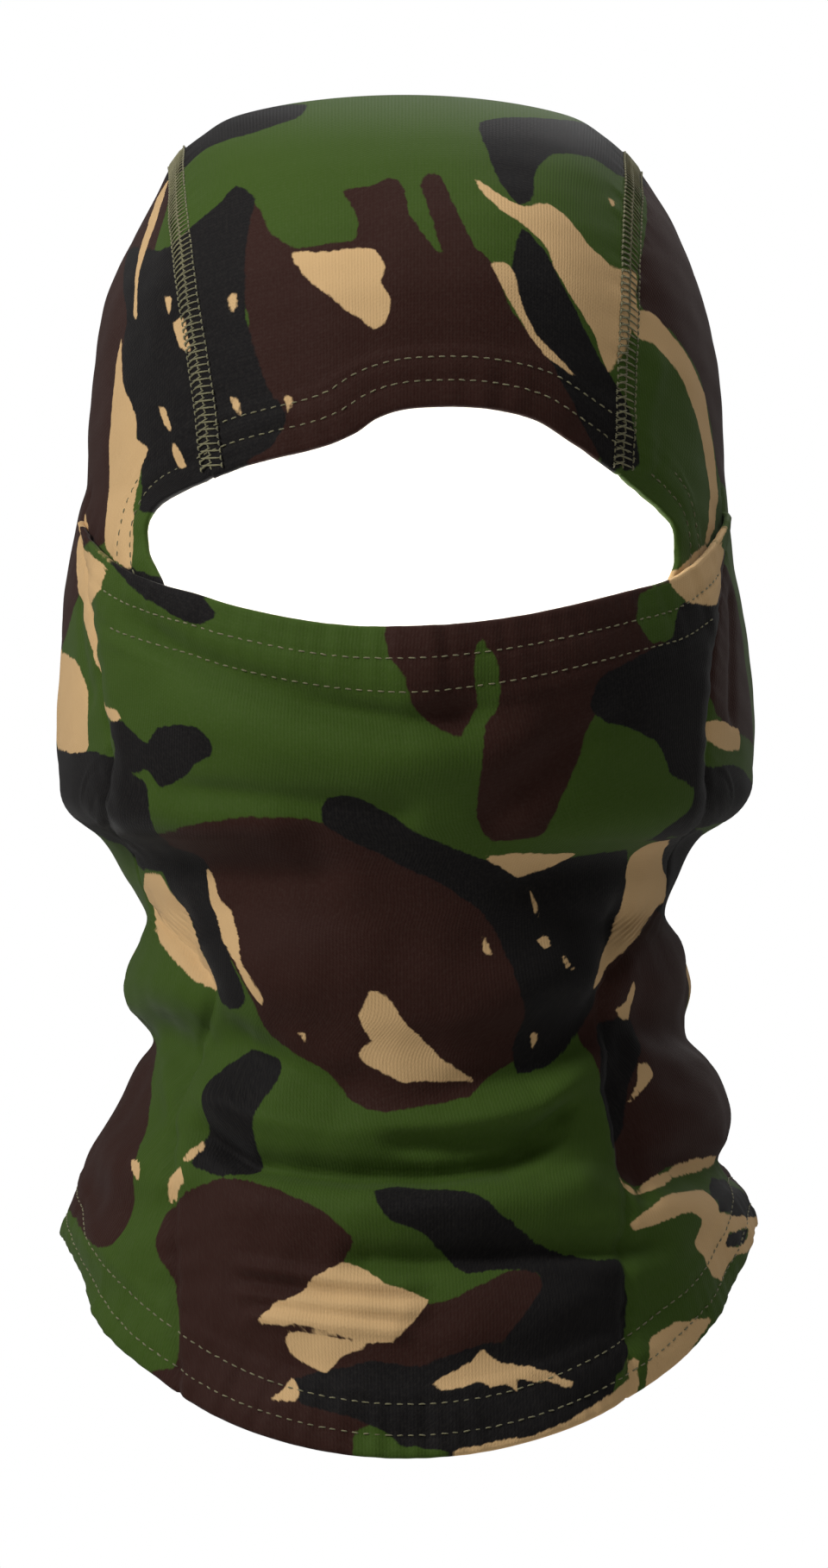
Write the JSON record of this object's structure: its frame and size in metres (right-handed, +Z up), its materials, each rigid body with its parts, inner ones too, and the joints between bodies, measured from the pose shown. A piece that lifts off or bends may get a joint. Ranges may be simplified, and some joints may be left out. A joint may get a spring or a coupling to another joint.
{
  "type": "camo face mask",
  "caption": "Close-fitting knitted hood for the whole head and neck, with a wide eye opening and a front face mask whose top hem pulls down.",
  "frame": {"origin": "inside of the crown's highest point, where the head carries the hood", "axes": "+Z up along the head; the face looks along -Y; +X is the wearer's left"},
  "size_m": [0.1802, 0.2071, 0.3518],
  "materials": {
    "printed_jersey": "matt four-colour print on fine brushed polyester jersey",
    "sewing_thread": "spun polyester thread, olive"
  },
  "bodies": {
    "hood": {"crown_panel": "printed_jersey", "side_panel_left": "printed_jersey", "side_panel_right": "printed_jersey", "face_panel": "printed_jersey", "crown_seam_thread_left": "sewing_thread", "crown_seam_thread_right": "sewing_thread", "brow_hem_thread_lower": "sewing_thread", "brow_hem_thread_upper": "sewing_thread", "brow_hem_looper": "sewing_thread", "neck_hem_thread_lower": "sewing_thread", "neck_hem_thread_upper": "sewing_thread", "neck_hem_looper": "sewing_thread", "side_seam_thread_left": "sewing_thread", "side_seam_thread_right": "sewing_thread"},
    "mask_hem": {"mask_top_hem": "printed_jersey", "mask_hem_thread_upper": "sewing_thread", "mask_hem_thread_lower": "sewing_thread", "mask_hem_looper": "sewing_thread"}
  },
  "joints": [
    {"name": "mask_pull_down", "type": "hinge", "parent": "hood", "child": "mask_hem", "pos_m": [0, -0.026, -0.11], "axis": [1, 0, 0], "range_deg": [0, 45], "deforming": ["face_panel"]}
  ]
}
